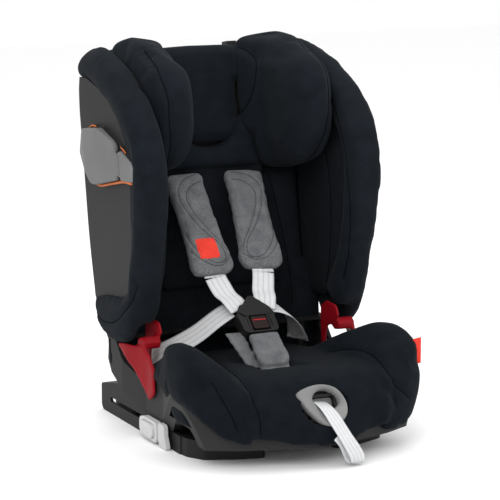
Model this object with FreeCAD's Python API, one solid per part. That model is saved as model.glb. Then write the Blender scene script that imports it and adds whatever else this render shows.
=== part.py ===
import FreeCAD, Part
import math
import os

# Forward-facing child car seat with a five-point harness, a height-adjustable headrest,
# fold-out side-impact guards and two sliding ISOFIX connectors.
# Millimetres. +Z up, -Y the way the child faces, +X towards the child's left.
# The origin is on the floor in the seat's middle plane.

# ---- driving dimensions -------------------------------------------------------------
LEAN = 10.0                       # backrest lean from vertical at rest, degrees
BACK_Y, BACK_Z = 60.0, 125.0      # origin of the backrest's own upright frame
AXLE_Y, AXLE_Z, AXLE_R = 118.0, 88.0, 6.0
RUN_GAP = 0.06                    # radial running clearance of a pin in its bore
PART_GAP = 0.5                    # room between a soft part and its neighbour

FRAME_X = 176.0                   # outer face of the base runners
FRAME_IN = 110.0                  # inner face of the base runners
FRAME_REAR = 217.0
FOOT_TOP = 29.5
TUB_X = 182.0                     # half-width of the seat tub beside the hips
TUB_WALL = 5.0
TUB_FLOOR = 62.0
EAR_X, EAR_T = 153.0, 6.0         # the tub's two ears, which hold the recline axle
LUG_R = 14.0                      # round end of each ear and hook
HOOK_X, HOOK_T = 142.5, 9.0       # the backrest's two hooks on the axle

ISOFIX_X = 140.0                  # half of the 280 mm anchor spacing
ARM_W, ARM_Z0, ARM_Z1 = 16.0, 12.0, 36.0
SLOT_Z, SLOT_H = 24.5, 8.0

SHELL_Y = 98.0                    # rear face of the backrest shell, backrest frame
SHELL_T = 4.0
SHELL_BOTTOM, SHOULDER, SHELL_TOP = 28.0, 462.0, 503.0
GUARD_X = 212.0                   # flat side face that carries the side-impact guard
GUARD_PLATE = 3.0
GUARD_BARREL_R = 4.0
GUARD_HINGE_Y = -92.0
GUARD_OUT = 235.0                 # the flap's outermost face
GUARD_PIN_R = 1.3
REAR_ROUND = 24.0                 # corner radius of the shell, seen from above

HEAD_BOTTOM, HEAD_TOP = 293.0, 502.0
HEAD_X = 152.0                    # outer face of the headrest's padding
CARRIER_X = 155.5                 # outer face of the headrest's plastic carrier
CARRIER_Y, CARRIER_T = 78.0, 4.0  # its rear face and the thickness of its back
PAD_REAR = 73.5                   # rear face of the headrest's padding
RAIL_X, RAIL_Y, RAIL_R = 80.0, 110.0, 5.0

WEBBING_W, WEBBING_T = 38.0, 1.6
ADJUST_W = 25.0
STRAP_X = 44.0                    # the shoulder straps behind the headrest

BUCKLE = (-6.0, -31.0, 183.0)     # middle of the buckle
BUCKLE_TILT = 40.0                # slope of the crotch strap, degrees
WIDE = 230.0                      # half-width that is wider than every part


# ---- helpers ------------------------------------------------------------------------
def vec(x, y, z):
    return FreeCAD.Vector(x, y, z)


PLANES = {
    "yz": (vec(0, 1, 0), vec(0, 0, 1), vec(1, 0, 0)),
    "xz": (vec(1, 0, 0), vec(0, 0, 1), vec(0, 1, 0)),
    "xy": (vec(1, 0, 0), vec(0, 1, 0), vec(0, 0, 1)),
}


def corner(before, here, after, radius):
    """The tangent arc that rounds a corner: its start, middle and end."""
    back, on = before - here, after - here
    room = 0.49 * min(back.Length, on.Length)
    back.normalize()
    on.normalize()
    half = back.getAngle(on) / 2
    reach = min(radius / math.tan(half), room)
    radius = reach * math.tan(half)
    middle = (back + on).normalize()
    return here + back * reach, here + middle * (radius / math.sin(half) - radius), here + on * reach


def prism(points, plane, low, high):
    """Extrude an outline of (u, v) or (u, v, corner radius) points from low to high."""
    u_axis, v_axis, normal = PLANES[plane]
    at = [u_axis * p[0] + v_axis * p[1] + normal * low for p in points]
    edges, ends = [], []
    for i, p in enumerate(points):
        if len(p) == 3:
            start, middle, end = corner(at[i - 1], at[i], at[(i + 1) % len(at)], p[2])
            edges.append((Part.Arc(start, middle, end).toShape(), start, end))
        else:
            edges.append((None, at[i], at[i]))
    for i, (arc, start, end) in enumerate(edges):
        if arc:
            ends.append(arc)
        following = edges[(i + 1) % len(edges)][1]
        if (following - end).Length > 1e-6:
            ends.append(Part.LineSegment(end, following).toShape())
    face = Part.Face(Part.Wire(Part.__sortEdges__(ends)))
    return face.extrude(normal * (high - low))


def box(x0, x1, y0, y1, z0, z1):
    return Part.makeBox(x1 - x0, y1 - y0, z1 - z0, vec(x0, y0, z0))


def rod(radius, start, end):
    start, end = vec(*start), vec(*end)
    return Part.makeCylinder(radius, (end - start).Length, start, end - start)


def ribbon(points, width, thickness, across=(1, 0, 0)):
    """A flat strap along a list of points, its width in the direction across."""
    points = [vec(*p) for p in points]
    across = vec(*across).normalize()
    sections = []
    for i, p in enumerate(points):
        along = points[min(i + 1, len(points) - 1)] - points[max(i - 1, 0)]
        out = along.cross(across).normalize() * (thickness / 2)
        side = across * (width / 2)
        sections.append(Part.makePolygon([p + side + out, p - side + out, p - side - out,
                                          p + side - out, p + side + out]))
    return Part.makeLoft(sections, True, True)


def mirrored(shape):
    return shape.mirror(vec(0, 0, 0), vec(1, 0, 0))


def lean(shape):
    """Move a shape from the backrest's upright frame to its place in the seat."""
    turned = shape.copy()
    turned.rotate(vec(0, 0, 0), vec(1, 0, 0), -LEAN)
    turned.translate(vec(0, BACK_Y, BACK_Z))
    return turned


def on_buckle(shape):
    """Lay a shape drawn flat, strap along +Y and face up, onto the buckle's slope."""
    turned = shape.copy()
    turned.rotate(vec(0, 0, 0), vec(1, 0, 0), BUCKLE_TILT)
    turned.translate(vec(*BUCKLE))
    return turned


def clean(shape):
    """One tidy solid, or a compound of separate solids."""
    shape = shape.removeSplitter()
    return shape.Solids[0] if len(shape.Solids) == 1 else Part.makeCompound(shape.Solids)


def save(name, shape, pieces=1):
    shape = clean(shape)
    if not shape.isValid() or len(shape.Solids) != pieces:
        raise ValueError("%s is not %d valid solids" % (name, pieces))
    shape.exportStep("parts/" + name + ".step")


def save_pair(name, shape):
    """The child's left part, on +X, and its mirror image on the right."""
    save(name + "_left", shape)
    save(name + "_right", mirrored(shape))


# ---- outlines shared by several parts -----------------------------------------------
def plan(half_width, front, inset=0.0):
    """The base's outline from above: hips, flared front corners and a rounded nose."""
    side = [(half_width - inset, 150), (half_width - inset, -60, 60), (half_width + 22 - inset, -135, 60),
            (half_width + 20 - inset, -196, 45), (130 - inset, front + 42 + inset, 90)]
    left = [(-p[0],) + p[1:] for p in reversed(side)]
    return side + [(0, front + inset, 200)] + left


def shell_plan(inset=0.0):
    """The backrest's outline from above: straight sides and rounded rear corners."""
    x, y = WIDE, SHELL_Y + 3
    depth = prism([(-x, -300), (x, -300), (x, y + 10), (-x, y + 10)], "xy", 0, 600)
    for side_sign in (-1, 1):
        edge = GUARD_X - inset
        square = box(edge - REAR_ROUND, edge + 30, y - inset - REAR_ROUND, y + 20, -5, 605)
        round_corner = rod(REAR_ROUND, (edge - REAR_ROUND, y - inset - REAR_ROUND, -5),
                           (edge - REAR_ROUND, y - inset - REAR_ROUND, 605))
        bite = square.cut(round_corner)
        depth = depth.cut(bite if side_sign > 0 else mirrored(bite))
    return depth


def shell_front(inset=0.0):
    """The backrest's outline from the front, from its hips to its rounded shoulders."""
    right = [(200, SHELL_BOTTOM - 40), (204, 110), (GUARD_X, 250), (GUARD_X, 380), (206, 440), (193, 511, 40)]
    right = [(p[0] - inset,) + p[1:] for p in right]
    left = [(-p[0],) + p[1:] for p in reversed(right)]
    return right + left


SHELL_EDGE = [(0, 28), (-40, 70), (-70, 119), (-104, 168), (-136, 240, 60), (-141, 285), (-146, 335, 25),
              (-118, 370, 40), (-47, 418), (66, 458)]
ROLL_FRONT = [(-58, 48, 12), (-82, 76), (-107, 115), (-143, 206, 120), (-155, 257), (-158, 303, 60),
              (-146, 354, 50), (-111, 407, 70), (-46, 462), (40, 506, 30), (82, 510, 26), (103, 488, 16),
              (98, 464)]
ROLL_BACK = [(64, 462), (-18, 421), (-76, 376), (-101, 337), (-110, 300), (-107, 262), (-97, 218),
             (-82, 172), (-65, 138), (-22, 82)]
GUARD = [(58, 337, 9), (26, 375, 9), (-27, 372), (-100, 336), (-147, 305, 10), (-142, 277, 6),
         (-89, 285), (2, 281, 20)]


# ---- base ---------------------------------------------------------------------------
def base_frame():
    """Two runners on the floor, joined by a cross beam; each is a channel for its ISOFIX arm."""
    side = [(-112, 0), (FRAME_REAR, 0, 12), (FRAME_REAR, 45, 6), (150, 58), (90, 58), (20, 40),
            (-30, FOOT_TOP), (-112, FOOT_TOP)]
    runner = prism(side, "yz", FRAME_IN, FRAME_X)
    toe = [(FRAME_IN, -100), (FRAME_X, -100), (FRAME_X - 4, -130, 20), (156, -158, 14), (110, -177),
           (61, -188, 8), (61, -166, 8), (FRAME_IN, -150)]
    runner = runner.fuse(prism(toe, "xy", 0, FOOT_TOP))
    runner = runner.cut(box(FRAME_IN + 5, FRAME_X - 5, -105, FRAME_REAR + 1, 5, 43))
    half = SLOT_H / 2
    slot = [(-60, SLOT_Z - half, half), (178, SLOT_Z - half, half), (178, SLOT_Z + half, half),
            (-60, SLOT_Z + half, half)]
    runner = runner.cut(prism(slot, "yz", FRAME_X - 6, FRAME_X + 1))
    beam = box(-FRAME_IN - 1, FRAME_IN + 1, 60, 112, 0, 12)
    return runner.fuse([mirrored(runner), beam])


def base_tub():
    """The moulded tub: sweeping side panels, a floor, a solid nose and two axle ears."""
    side = [(-272, 30), (-87, 30.5), (-22, 33), (27, 46), (83, 63), (128, 84), (142, 104), (137, 149, 6),
            (114, 147, 6), (82, 112, 40), (20, 92, 60), (-30, 107, 50), (-83, 119, 60), (-140, 117, 60),
            (-196, 98, 30), (-232, 58, 30), (-264, 36, 10)]
    taper = [(-174, 25), (174, 25), (206, 105), (206, 160), (-206, 160), (-206, 105)]
    outer = prism(side, "yz", -WIDE, WIDE).common(prism(plan(TUB_X, -276), "xy", 0, 140))
    outer = outer.common(prism(taper, "xz", -300, 200))
    horn_plan = [(TUB_X - 3, 10), (TUB_X, 10), (193, 84), (194, 150), (187, 150), (187, 84)]
    horn = prism(horn_plan, "xy", 0, 200).common(prism(side, "yz", 0, WIDE))
    room = prism(plan(TUB_X, -236, TUB_WALL), "xy", TUB_FLOOR, 200)
    under = prism(plan(TUB_X, -214, TUB_WALL + 8), "xy", 0, TUB_FLOOR - 4)
    tub = outer.cut([room, under]).fuse([horn, mirrored(horn)])
    ear = axle_ear()
    tub = tub.fuse([ear, mirrored(ear)])
    tub = tub.cut(box(-TUB_X + TUB_WALL, TUB_X - TUB_WALL, 140, 160, TUB_FLOOR, 160))
    tub = tub.cut(rod(AXLE_R, (-EAR_X - EAR_T, AXLE_Y, AXLE_Z), (EAR_X + EAR_T, AXLE_Y, AXLE_Z)))
    return tub.cut(on_bezel(adjuster_room(1.0)))


def axle_ear():
    """The child's left ear, on the shelf that carries it back from the tub's floor."""
    inner, outer = EAR_X - EAR_T / 2, EAR_X + EAR_T / 2
    ear = rod(LUG_R, (inner, AXLE_Y, AXLE_Z), (outer, AXLE_Y, AXLE_Z))
    ear = ear.fuse(box(inner, outer, AXLE_Y - LUG_R, AXLE_Y + LUG_R, TUB_FLOOR - 2, AXLE_Z))
    shelf = box(inner - 14, outer + 14, 58, AXLE_Y + LUG_R, TUB_FLOOR - 3.5, TUB_FLOOR)
    return ear.fuse(shelf)


def recline_axle():
    end = EAR_X + EAR_T / 2
    return rod(AXLE_R, (-end, AXLE_Y, AXLE_Z), (end, AXLE_Y, AXLE_Z))


CUSHION_X = 120.0
CUSHION_NOSE = -290.0


def seat_cushion():
    """The middle of the seat pad, from the backrest to the front edge that it rolls over."""
    side = [(108, TUB_FLOOR + 1, 8), (108, 104, 12), (36, 111), (-60, 119), (-190, 128, 60), (-234, 122, 40),
            (-262, 88, 60), (-289, 31, 6), (-277, 31), (-264, 39), (-233, 62), (-200, 100), (-186, 108),
            (-186, TUB_FLOOR + 1)]
    pad = prism(side, "yz", -CUSHION_X, CUSHION_X).common(prism(plan(TUB_X, CUSHION_NOSE), "xy", 0, 200))
    strap_slot = box(-32, 20, -124, -92, TUB_FLOOR, 140)
    return pad.cut([on_bezel(adjuster_room(1.5)), strap_slot])


def seat_bolster():
    """The raised side of the seat pad: low beside the hips, high at the thigh, round at the corner."""
    side = [(100, TUB_FLOOR + 1, 6), (100, 86, 10), (40, 98, 40), (-30, 138, 60), (-100, 176, 60),
            (-150, 183, 40), (-205, 158, 40), (-238, 122, 40), (-262, 88, 40), (-287, 34, 6), (-277, 32),
            (-264, 39), (-233, 62), (-198, 101), (-141, 120), (-83, 122), (-30, 110), (20, 96), (60, 92),
            (90, 76), (90, TUB_FLOOR + 1)]
    crown = [(CUSHION_X + PART_GAP, 0), (CUSHION_X + PART_GAP, 128, 30), (150, 160, 30), (172, 184, 18),
             (198, 178, 18), (206, 110, 60), (190, 0)]
    top = prism(side, "yz", 0, WIDE).common(prism(crown, "xz", -300, 130))
    top = top.common(prism(plan(TUB_X - 1, CUSHION_NOSE), "xy", 0, 250))
    top = top.cut(box(TUB_X - TUB_WALL - PART_GAP, WIDE, 10, 110, TUB_FLOOR, 130))
    filling = [(92, TUB_FLOOR + 1), (92, 86), (20, 98), (-30, 112), (-83, 124), (-141, 122), (-185, 100),
               (-185, TUB_FLOOR + 1)]
    inside = prism(filling, "yz", CUSHION_X + PART_GAP, WIDE)
    inside = inside.common(prism(plan(TUB_X - TUB_WALL - PART_GAP, -196, 0), "xy", 0, 200))
    return top.fuse(inside)


# ---- harness adjuster in the seat's front edge --------------------------------------
BEZEL = (0.0, -257.0, 92.0)
BEZEL_TILT = 60.0                 # from face-up to facing forward and up, degrees


def on_bezel(shape):
    """Lay a shape drawn face-up at the origin onto the front edge, facing forward and up."""
    turned = shape.copy()
    turned.rotate(vec(0, 0, 0), vec(1, 0, 0), BEZEL_TILT)
    turned.translate(vec(*BEZEL))
    return turned


def oval(width, height, low, high, x=0.0, y=0.0):
    """An upright oval column."""
    disc = Part.makeCylinder(1, high - low, vec(0, 0, low))
    stretch = FreeCAD.Matrix()
    stretch.scale(width / 2, height / 2, 1)
    disc = disc.transformGeometry(stretch)
    disc.translate(vec(x, y, 0))
    return disc


def adjuster_room(gap):
    """The space in the cushion and the tub that the bezel and the adjuster fill."""
    rim = oval(84 + 2 * gap, 68 + 2 * gap, -6 - gap, 30)
    well = box(-29 - gap, 29 + gap, -21 - gap, 21 + gap, -46 - gap, 0)
    return rim.fuse(well)


def adjuster_bezel():
    ring = oval(84, 68, -6, 6)
    hole = oval(50, 36, -8, 9, 3, 4)
    return on_bezel(ring.cut(hole))


CAM_AT = (-7, -34)                # the cam's axis, drawn face-up
CAM_PIN_R = 1.5


def adjuster_body():
    """A box behind the bezel, open at the front, with a webbing slot in its back."""
    case = box(-29, 29, -21, 21, -45, -6.2).cut(box(-25, 25, -17, 17, -41, -5))
    case = case.cut(box(-14, 14, -10, -4, -50, -40))
    return on_bezel(case.cut(rod(CAM_PIN_R + RUN_GAP, (-30,) + CAM_AT, (30,) + CAM_AT)))


def adjuster_button():
    """The release key in the upper half of the opening."""
    key = prism([(-24.4, 2, 4), (24.4, 2, 4), (24.4, 16.4, 5), (-24.4, 16.4, 5)], "xy", -26, -12)
    return on_bezel(key)


def adjuster_cam():
    """The toothed roller that grips the webbing, on its own short axle."""
    teeth, tip, root = 12, 5.5, 4.2
    outline = []
    for i in range(2 * teeth):
        turn = math.pi * i / teeth
        reach = tip if i % 2 == 0 else root
        outline.append((CAM_AT[0] + reach * math.cos(turn), CAM_AT[1] + reach * math.sin(turn)))
    roller = prism(outline, "yz", -20, 20)
    return on_bezel(roller.fuse(rod(CAM_PIN_R, (-28,) + CAM_AT, (28,) + CAM_AT)))


def adjuster_strap():
    """The loop of webbing that tightens the harness, out over the bezel's lip and back beneath."""
    out = [(3, -247, 82), (5, -262, 80), (12, -279, 68), (26, -291, 44), (38, -296, 22), (44, -293, 9),
           (43, -286, 6), (39, -281, 14), (28, -285, 38), (14, -279, 58)]
    return ribbon(out, ADJUST_W, WEBBING_T, (1, 0.1, -0.12))


# ---- harness ------------------------------------------------------------------------
def buckle_housing():
    outline = [(-31, -29, 10), (31, -29, 10), (33, 10, 12), (22, 29, 8), (-22, 29, 8), (-33, 10, 12)]
    case = prism(outline, "xy", -11, 11)
    case = case.cut(box(-14.5, 14.5, -25, 1, 3, 12))
    for x in (-17, 17):
        case = case.cut(box(x - 11.5, x + 11.5, -3, 31, -3.5, 1.5))
    return on_buckle(case)


def buckle_button():
    key = prism([(-14, -24.5, 4), (14, -24.5, 4), (14, 0.5, 4), (-14, 0.5, 4)], "xy", 7, 14)
    return on_buckle(key)


def buckle_tongue():
    """A steel tongue with a plastic grip that holds the webbing."""
    blade = prism([(6.5, -1), (27.5, -1), (27.5, 34), (6.5, 34)], "xy", -2.5, 0.5)
    grip = prism([(6.5, 30.5, 3), (29, 30.5, 4), (44, 44, 5), (38, 56, 4), (8, 48, 4)], "xy", -5, 4)
    window = prism([(14, 39), (34, 43), (32, 47), (12, 43)], "xy", -6, 5)
    return blade.fuse(grip).cut(window)


def crotch_strap():
    path = [(BUCKLE[0], -108, 92), (BUCKLE[0], -106, 119), (BUCKLE[0], -94, 131), (BUCKLE[0], -54.5, 164.5)]
    return ribbon(path, WEBBING_W, WEBBING_T)


def crotch_pad():
    """The pad in front of the crotch strap, cut where the strap passes behind it."""
    pad = prism([(-28, -95, 14), (28, -95, 14), (26, -31, 6), (-26, -31, 6)], "xy", 1.9, 10)
    return on_buckle(pad)


def lap_straps():
    """The hip straps, from each tongue down to the crease beside the seat pad."""
    right = [(-40, -4, 200), (-62, 0, 186), (-90, 12, 162), (-118, 28, 142), (-142, 44, 126), (-150, 58, 112)]
    left = [(28, -4, 202), (48, -2, 196), (72, 8, 181), (92, 25, 160), (106, 42, 139), (113, 54, 125)]
    return Part.makeCompound([ribbon(right, WEBBING_W, WEBBING_T, (0.1, -0.62, 0.5)),
                              ribbon(left, WEBBING_W, WEBBING_T, (-0.1, -0.62, 0.5))])


def harness_straps():
    """The shoulder straps' lower ends, from each tongue up to the shoulder pad."""
    right = [(-36, 2, 208), (-41, 10, 222), (-47, 19.5, 237.5), (-50.5, 27.5, 249)]
    left = [(24, 2, 208), (28, 10.5, 223), (32.5, 19.5, 238.5), (35.5, 26.5, 251)]
    return Part.makeCompound([ribbon(p, WEBBING_W, WEBBING_T) for p in (right, left)])


# ---- ISOFIX connectors --------------------------------------------------------------
POD_GAP = 4.5                     # the pod runs outside the tub's lower edge


def isofix_arm():
    """A steel tube that slides in the runner, with a stem out through the runner's slot."""
    half = ARM_W / 2
    tube = box(ISOFIX_X - half, ISOFIX_X + half, -85, 130, ARM_Z0, ARM_Z1)
    tube = tube.cut(box(ISOFIX_X - half + 2, ISOFIX_X + half - 2, -86, 131, ARM_Z0 + 2, ARM_Z1 - 2))
    stem = box(ISOFIX_X + half, FRAME_X + POD_GAP, -42, -14, SLOT_Z - 3.5, SLOT_Z + 3.5)
    return tube.fuse(stem)


JAW_AT = (160, 33)
JAW_PIN_R = 2.5


def isofix_connector():
    """The housing at the arm's end: a mouth for the anchor bar, with room for the jaw."""
    case = box(ISOFIX_X - 16, ISOFIX_X + 16, 130, 203, 8, 40)
    mouth = prism([(204, 14), (204, 33), (190, 28), (178, 28, 4), (178, 19, 4), (190, 19)], "yz", 100, 180)
    jaw_room = box(ISOFIX_X - 5, ISOFIX_X + 5, 142, 204, 10, 38)
    bore = rod(JAW_PIN_R, (ISOFIX_X - 17,) + JAW_AT, (ISOFIX_X + 17,) + JAW_AT)
    return case.cut([mouth, jaw_room, bore])


def isofix_jaw():
    """The steel hook, open at rest, with its own pin."""
    outline = [(154, 37, 3), (198, 37, 3), (200, 31, 2), (196, 29.5, 1), (192, 33), (172, 31),
               (158, 26, 3), (152, 30, 3)]
    hook = prism(outline, "yz", ISOFIX_X - 3.5, ISOFIX_X + 3.5)
    pin = rod(JAW_PIN_R - RUN_GAP, (ISOFIX_X - 15.9,) + JAW_AT, (ISOFIX_X + 15.9,) + JAW_AT)
    return hook.fuse(pin)


def isofix_grip():
    """The slider outside the runner: a rounded pod with the key's pocket, and a pull hook."""
    pod = prism([(20, 12, 8), (20, 34, 10), (2, 38, 8), (-50, 38, 8), (-50, 4, 8), (0, 4, 10)], "yz",
                FRAME_X + POD_GAP, FRAME_X + 14)
    pocket = [(10, 9, 7), (10, 33, 10), (-42, 33, 10), (-42, 9, 10)]
    pod = pod.cut(prism(pocket, "yz", FRAME_X + 8, FRAME_X + 15))
    hook = [(-53, 40, 6), (-76, 39.5, 6), (-78, 22), (-86, 6, 4), (-84, 1, 2), (-58, 1, 4), (-53, 12, 4)]
    hook = prism(hook, "yz", FRAME_X + 5.5, FRAME_X + 12.5)
    link = box(FRAME_X + 5.5, FRAME_X + 9, -54, -49, 12, 32)
    return pod.fuse([hook, link])


def isofix_key():
    """The oval release key in the pod."""
    return prism([(9, 10, 6.5), (9, 32, 9), (-41, 32, 9), (-41, 10, 9)], "yz", FRAME_X + 12, FRAME_X + 18)


# ---- backrest, drawn upright in its own frame ---------------------------------------
def back_shell():
    """The moulded shell: a back, two side walls and a shelf, with a slot for the headrest."""
    outer = [(SHELL_Y, SHELL_BOTTOM, 8), (SHELL_Y + 3, 250), (SHELL_Y, SHOULDER)]
    outer = prism(outer + list(reversed(SHELL_EDGE)), "yz", -WIDE, WIDE)
    outer = outer.common(prism(shell_front(), "xz", -300, 200)).common(shell_plan())
    inner = [(SHELL_Y - SHELL_T, SHELL_BOTTOM + SHELL_T), (SHELL_Y + 3 - SHELL_T, 250),
             (SHELL_Y - SHELL_T, SHOULDER), (SHELL_Y - SHELL_T, 530), (-300, 530),
             (-300, SHELL_BOTTOM + SHELL_T)]
    inner = prism(inner, "yz", -WIDE, WIDE).common(prism(shell_front(SHELL_T), "xz", -310, 200))
    shell = outer.cut(inner.common(shell_plan(SHELL_T)))
    top = [(-168, SHOULDER - 1), (168, SHOULDER - 1), (160, SHELL_TOP - 4, 30), (0, SHELL_TOP + 2, 400),
           (-160, SHELL_TOP - 4, 30)]
    shell = shell.fuse(prism(top, "xz", SHELL_Y - SHELL_T, SHELL_Y))
    shell = shell.cut(box(-66, 66, 80, 110, 262, 496))
    for side_sign in (-1, 1):
        x = side_sign * 190.75
        shell = shell.cut(box(x - 5.25, x + 5.25, -20, SHELL_Y - SHELL_T, 20, SHELL_BOTTOM + SHELL_T + 1))
        hip = prism([(46, 10), (120, 10), (120, 122), (99, 112, 30), (84, 66, 20)], "yz", 158, WIDE)
        shell = shell.cut(hip if side_sign > 0 else mirrored(hip))
    return shell


def back_pad():
    """The back cushion: thick below the headrest, thin behind it, open where the headrest slides."""
    side = [(64, 34, 10), (92, 34), (96.5, 250), (91, 490), (84, 490), (84, 292), (64, 288, 6)]
    pad = prism(side, "yz", -172.5, 172.5)
    pad = pad.common(prism(shell_front(SHELL_T + 1), "xz", 0, 200))
    return pad.cut(box(-67, 67, 50, 110, 268, 600))


def side_bolster():
    """The padded lining inside one side wall."""
    rear = [(92, 66), (92, 440), (70, 450)]
    front = [(p[0] + 1.5, p[1]) for p in ROLL_BACK[:-1]] + [(-18, 84), (-6, 66)]
    gap = SHELL_T + PART_GAP
    lining = prism(rear + front, "yz", 177, WIDE).common(prism(shell_front(gap), "xz", -300, 200))
    return lining.common(shell_plan(gap))


def wing_roll():
    """The thick padded edge that runs round the front of one side wall."""
    band = prism(ROLL_FRONT[:-3] + ROLL_BACK, "yz", 166, WIDE)
    inside = band.common(prism(shell_front(SHELL_T + PART_GAP), "xz", -300, 200))
    edge = [(p[0] - PART_GAP - 0.5,) + p[1:] for p in SHELL_EDGE[1:-1]] + [(64, 463)]
    proud = prism(ROLL_FRONT + list(reversed(edge)), "yz", 173, WIDE)
    proud = proud.common(prism(shell_front(-3.5), "xz", -300, 200)).common(shell_plan(-3.5))
    proud = proud.cut(prism(grown(GUARD, 4), "yz", GUARD_X - PART_GAP, WIDE))
    return inside.fuse(proud)


def recline_hooks():
    """Two lugs under the shell that turn on the recline axle."""
    hooks = []
    web = [(34, 10, 20), (52, -32), (75, -32), (88, 10, 20), (88, SHELL_BOTTOM), (34, SHELL_BOTTOM)]
    for x in (-HOOK_X, HOOK_X):
        low, high = x - HOOK_T / 2, x + HOOK_T / 2
        lug = lean(prism(web, "yz", low, high))
        lug = lug.fuse(rod(LUG_R, (low, AXLE_Y, AXLE_Z), (high, AXLE_Y, AXLE_Z)))
        hooks.append(lug.cut(rod(AXLE_R + RUN_GAP, (low - 1, AXLE_Y, AXLE_Z), (high + 1, AXLE_Y, AXLE_Z))))
    return Part.makeCompound(hooks)


def lap_guide():
    """The lap-belt guide: a flared outer plate, a saddle under the wing and an inner tongue."""
    plate = [(70, 148, 5), (33, 152), (15, 151), (2, 154, 6), (-16, 140), (-36, 121, 10), (-37, 81, 10),
             (-16, 66, 6), (2, 88), (24, 113), (54, 137)]
    flare = [(183.5, -50), (183.5, -12, 30), (190, 12), (199, 36, 60), (205, 80), (211, 80), (205, 36, 60),
             (196, 12), (189.5, -12, 30), (189.5, -50)]
    outer = prism(plate, "yz", 180, 215).common(prism(flare, "xy", 50, 200))
    tongue = [(45, 106, 4), (57, 112, 6), (60, 150, 30), (60, 178, 12), (40, 191, 12), (5, 189, 10),
              (-6, 172, 6), (20, 154), (36, 146, 6), (40, 130), (42, 112)]
    inner = prism(tongue, "yz", 157.5, 162.5)
    saddle = prism([(-2, 148), (14, 145), (25, 153), (22, 163), (6, 167, 3), (-4, 160, 3)], "yz", 160, 191)
    return outer.fuse([inner, saddle])


def grown(points, by):
    """An outline moved outwards by a distance, about its own middle."""
    cy = sum(p[0] for p in points) / len(points)
    cz = sum(p[1] for p in points) / len(points)
    out = []
    for p in points:
        away = math.hypot(p[0] - cy, p[1] - cz)
        out.append((p[0] + (p[0] - cy) * by / away, p[1] + (p[1] - cz) * by / away) + tuple(p[2:]))
    return out


PIN_X = GUARD_X + GUARD_PLATE + 0.5 + GUARD_BARREL_R
BARREL = (291.0, 328.0)


def guard_pin(radius, past):
    return rod(radius, (PIN_X, GUARD_HINGE_Y, BARREL[0] - past), (PIN_X, GUARD_HINGE_Y, BARREL[1] + past))


def guard_wedge():
    """The guard from above: level with the wing at its front tip, standing out at its rear."""
    face = GUARD_X + GUARD_PLATE
    outline = [(face, -150), (face + 2, -150), (PIN_X + GUARD_BARREL_R, -96), (GUARD_OUT - 3, -30, 60),
               (GUARD_OUT, 20, 30), (face + 12, 62), (face, 62)]
    return prism(outline, "xy", 250, 400)


def side_guard_base():
    """The plate on the side wall, with two ears for the hinge pin."""
    base = prism(grown(GUARD, 3), "yz", GUARD_X, GUARD_X + GUARD_PLATE)
    for z in (BARREL[0] - 3.5, BARREL[1] + 0.5):
        base = base.fuse(box(GUARD_X + 1, PIN_X + 3, GUARD_HINGE_Y - 3, GUARD_HINGE_Y + 3, z, z + 3))
    return base.cut(guard_pin(GUARD_PIN_R, 6))


def side_guard_flap():
    """The flap that swings out from the side wall about its front edge."""
    outline = [(58, 337, 9), (26, 375, 9), (-27, 372), (-78, 348, 6), (-86, 340), (-86, 285, 4), (2, 281, 20)]
    flap = prism(outline, "yz", GUARD_X + GUARD_PLATE + 0.5, GUARD_OUT).common(guard_wedge())
    barrel = guard_pin(GUARD_BARREL_R, 0)
    web = box(PIN_X - GUARD_BARREL_R, PIN_X + GUARD_BARREL_R, GUARD_HINGE_Y, -85, BARREL[0], BARREL[1])
    flap = flap.fuse([barrel, web])
    return flap.cut(guard_pin(GUARD_PIN_R + RUN_GAP, 10))


def side_guard_nose():
    """The fixed front end of the guard, ahead of the seam."""
    outline = [(-98, 334, 4), (-146, 305, 10), (-141, 278, 6), (-98, 284, 3)]
    return prism(outline, "yz", GUARD_X + GUARD_PLATE, GUARD_OUT).common(guard_wedge())


def side_guard_pins():
    pin = lean(guard_pin(GUARD_PIN_R, 3.5))
    return Part.makeCompound([pin, mirrored(pin)])


def headrest_rails():
    rails = [lean(rod(RAIL_R, (x, RAIL_Y, 256), (x, RAIL_Y, 508))) for x in (-RAIL_X, RAIL_X)]
    return Part.makeCompound(rails)


def rail_brackets():
    """Four blocks that hold the rails' ends to the back of the shell."""
    blocks = []
    for low in (252, 500):
        back = SHELL_Y + 3 if low < 300 else SHELL_Y
        for x in (-RAIL_X, RAIL_X):
            block = box(x - 9, x + 9, back, RAIL_Y + 8, low, low + 10)
            blocks.append(lean(block.cut(rod(RAIL_R, (x, RAIL_Y, low - 1), (x, RAIL_Y, low + 11)))))
    return Part.makeCompound(blocks)


# ---- headrest, drawn in the backrest's frame ----------------------------------------
def headrest_shell():
    """The plastic carrier: a back plate with two side plates."""
    low = HEAD_BOTTOM + 4
    back = prism([(-CARRIER_X, low, 10), (CARRIER_X, low, 10), (CARRIER_X, HEAD_TOP, 30),
                  (-CARRIER_X, HEAD_TOP, 30)], "xz", CARRIER_Y - CARRIER_T, CARRIER_Y)
    side = prism([(CARRIER_Y, low), (-60, 310, 20), (-95, 380, 40), (-70, 450, 40), (40, HEAD_TOP, 20),
                  (CARRIER_Y, HEAD_TOP)], "yz", HEAD_X + PART_GAP, CARRIER_X)
    return back.fuse([side, mirrored(side)])


def headrest_centre_pad():
    face = [(-62, 340, 12), (0, 337, 60), (62, 340, 12), (64, 470, 12), (50, 502, 20), (-50, 502, 20),
            (-64, 470, 12)]
    return prism(face, "xz", 46, PAD_REAR)


def headrest_neck_pad():
    face = [(-92, HEAD_BOTTOM + 2, 10), (92, HEAD_BOTTOM + 2, 10), (92, 332, 8), (64, 338, 8), (0, 335, 60),
            (-64, 338, 8), (-92, 332, 8)]
    return prism(face, "xz", 40, PAD_REAR)


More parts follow.
